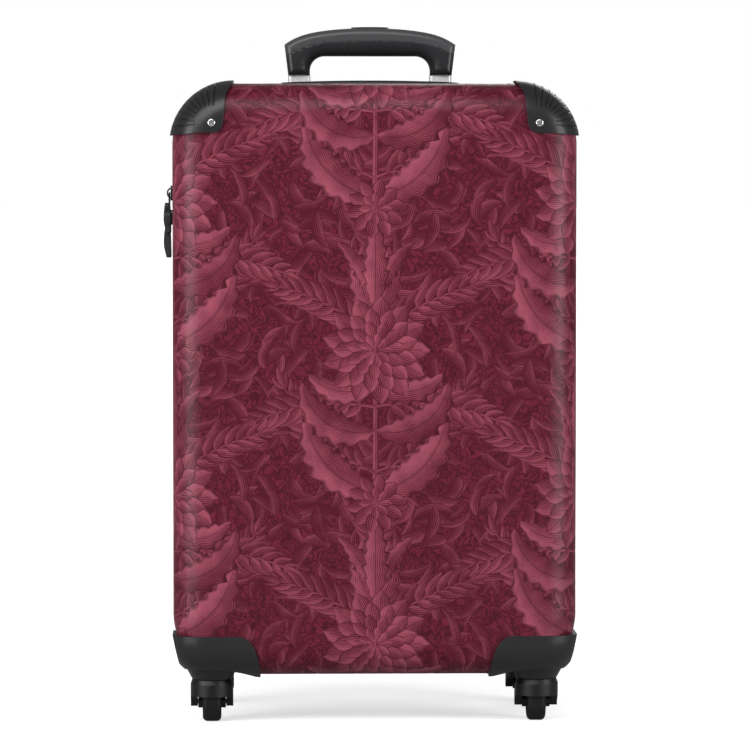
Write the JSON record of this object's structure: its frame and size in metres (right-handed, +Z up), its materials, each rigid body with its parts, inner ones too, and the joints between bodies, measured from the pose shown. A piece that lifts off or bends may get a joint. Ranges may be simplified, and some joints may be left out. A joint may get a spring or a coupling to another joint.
{
  "type": "suitcase",
  "caption": "Cabin-size trolley suitcase: two printed hard half shells joined by a zip, ribbed corner guards, swivelling casters and a telescopic handle.",
  "frame": {"origin": "on the floor under the middle of the case", "axes": "+Z up, -Y out of the printed front, +X towards the hinged side"},
  "size_m": [0.3549, 0.2032, 0.6004],
  "materials": {
    "printed_cover": "printed synthetic leather over a hard shell",
    "guard_plastic": "fine grained",
    "fork_plastic": "satin",
    "tyre_rubber": "matt",
    "hub_plastic": "satin",
    "steel": "bright",
    "screw_chrome": "polished",
    "tube_aluminium": "satin anodised",
    "bezel_plastic": "fine grained",
    "grip_plastic": "satin",
    "grip_soft": "soft touch",
    "button_plastic": "satin",
    "zip_fabric": "woven tape",
    "zip_coil": "satin",
    "zip_metal": "gun metal",
    "pull_rubber": "matt",
    "binding_vinyl": "piped edge",
    "strap_rubber": "soft",
    "lining_fabric": "woven polyester",
    "webbing": "ribbed webbing",
    "buckle_plastic": "satin"
  },
  "bodies": {
    "rear": {"rear_shell": "printed_cover", "rear_lining": "lining_fabric", "rear_rim_binding": "binding_vinyl", "rear_zip_tape": "zip_fabric", "rear_zip_coil": "zip_coil", "guard_screws_rear": "screw_chrome", "top_guard_rear_left": "guard_plastic", "caster_housing_rear_left": "guard_plastic", "caster_stem_rear_left": "steel", "top_guard_rear_right": "guard_plastic", "caster_housing_rear_right": "guard_plastic", "caster_stem_rear_right": "steel", "hinge_strip": "zip_fabric", "handle_tubes_outer": "tube_aluminium", "handle_foot_bracket": "bezel_plastic", "handle_bezel": "bezel_plastic", "carry_strap": "strap_rubber", "carry_strap_caps": "bezel_plastic", "packing_straps": "webbing", "strap_buckle": "buckle_plastic"},
    "front": {"front_shell": "printed_cover", "front_lining": "lining_fabric", "front_rim_binding": "binding_vinyl", "front_zip_tape": "zip_fabric", "front_zip_coil": "zip_coil", "guard_screws_front": "screw_chrome", "top_guard_front_left": "guard_plastic", "caster_housing_front_left": "guard_plastic", "caster_stem_front_left": "steel", "top_guard_front_right": "guard_plastic", "caster_housing_front_right": "guard_plastic", "caster_stem_front_right": "steel"},
    "handle_middle": {"handle_tubes_middle": "tube_aluminium"},
    "handle_grip": {"handle_tubes_inner": "tube_aluminium", "grip_body": "grip_plastic", "grip_cover": "grip_soft"},
    "grip_button": {"grip_button": "button_plastic"},
    "zip_slider_upper": {"zip_slider_upper": "zip_metal"},
    "zip_pull_upper": {"zip_pull_link_upper": "zip_metal", "zip_pull_tab_upper": "pull_rubber"},
    "zip_slider_lower": {"zip_slider_lower": "zip_metal"},
    "zip_pull_lower": {"zip_pull_link_lower": "zip_metal", "zip_pull_tab_lower": "pull_rubber"},
    "fork_front_left": {"caster_fork_front_left": "fork_plastic", "wheel_axle_front_left": "steel"},
    "wheel_front_left": {"wheel_hub_front_left": "hub_plastic", "wheel_tyre_front_left": "tyre_rubber"},
    "fork_front_right": {"caster_fork_front_right": "fork_plastic", "wheel_axle_front_right": "steel"},
    "wheel_front_right": {"wheel_hub_front_right": "hub_plastic", "wheel_tyre_front_right": "tyre_rubber"},
    "fork_rear_left": {"caster_fork_rear_left": "fork_plastic", "wheel_axle_rear_left": "steel"},
    "wheel_rear_left": {"wheel_hub_rear_left": "hub_plastic", "wheel_tyre_rear_left": "tyre_rubber"},
    "fork_rear_right": {"caster_fork_rear_right": "fork_plastic", "wheel_axle_rear_right": "steel"},
    "wheel_rear_right": {"wheel_hub_rear_right": "hub_plastic", "wheel_tyre_rear_right": "tyre_rubber"}
  },
  "joints": [
    {"name": "lid_hinge", "type": "hinge", "parent": "rear", "child": "front", "pos_m": [0.1758, 0, 0.295], "axis": [0, 0, 1], "range_deg": [0, 180]},
    {"name": "handle_middle_slide", "type": "slide", "parent": "rear", "child": "handle_middle", "axis": [0, 0, 1], "range_m": [0, 0.2]},
    {"name": "handle_grip_slide", "type": "slide", "parent": "handle_middle", "child": "handle_grip", "axis": [0, 0, 1], "range_m": [0, 0.2]},
    {"name": "grip_button_press", "type": "slide", "parent": "handle_grip", "child": "grip_button", "axis": [0, 0, -1], "range_m": [0, 0.0035], "stiffness_N_per_m": 300, "springref_m": -0.002},
    {"name": "zip_slider_upper_run", "type": "slide", "parent": "rear", "child": "zip_slider_upper", "axis": [0, 0, 1], "range_m": [0, 0.04]},
    {"name": "zip_slider_lower_run", "type": "slide", "parent": "rear", "child": "zip_slider_lower", "axis": [0, 0, 1], "range_m": [-0.31, 0]},
    {"name": "zip_pull_upper_swing", "type": "hinge", "parent": "zip_slider_upper", "child": "zip_pull_upper", "pos_m": [-0.17625, 0, 0.4539], "axis": [0, 1, 0], "range_deg": [0, 115]},
    {"name": "zip_pull_lower_swing", "type": "hinge", "parent": "zip_slider_lower", "child": "zip_pull_lower", "pos_m": [-0.17625, 0, 0.4329], "axis": [0, 1, 0], "range_deg": [0, 115]},
    {"name": "caster_front_left_swivel", "type": "hinge", "parent": "front", "child": "fork_front_left", "pos_m": [-0.1395, -0.064, 0.05], "axis": [0, 0, 1], "continuous": true},
    {"name": "wheel_front_left_spin", "type": "hinge", "parent": "fork_front_left", "child": "wheel_front_left", "pos_m": [-0.1395, -0.052, 0.017], "axis": [1, 0, 0], "continuous": true},
    {"name": "caster_front_right_swivel", "type": "hinge", "parent": "front", "child": "fork_front_right", "pos_m": [0.1395, -0.064, 0.05], "axis": [0, 0, 1], "continuous": true},
    {"name": "wheel_front_right_spin", "type": "hinge", "parent": "fork_front_right", "child": "wheel_front_right", "pos_m": [0.1395, -0.052, 0.017], "axis": [1, 0, 0], "continuous": true},
    {"name": "caster_rear_left_swivel", "type": "hinge", "parent": "rear", "child": "fork_rear_left", "pos_m": [-0.1395, 0.064, 0.05], "axis": [0, 0, 1], "continuous": true},
    {"name": "wheel_rear_left_spin", "type": "hinge", "parent": "fork_rear_left", "child": "wheel_rear_left", "pos_m": [-0.1395, 0.076, 0.017], "axis": [1, 0, 0], "continuous": true},
    {"name": "caster_rear_right_swivel", "type": "hinge", "parent": "rear", "child": "fork_rear_right", "pos_m": [0.1395, 0.064, 0.05], "axis": [0, 0, 1], "continuous": true},
    {"name": "wheel_rear_right_spin", "type": "hinge", "parent": "fork_rear_right", "child": "wheel_rear_right", "pos_m": [0.1395, 0.076, 0.017], "axis": [1, 0, 0], "continuous": true}
  ]
}
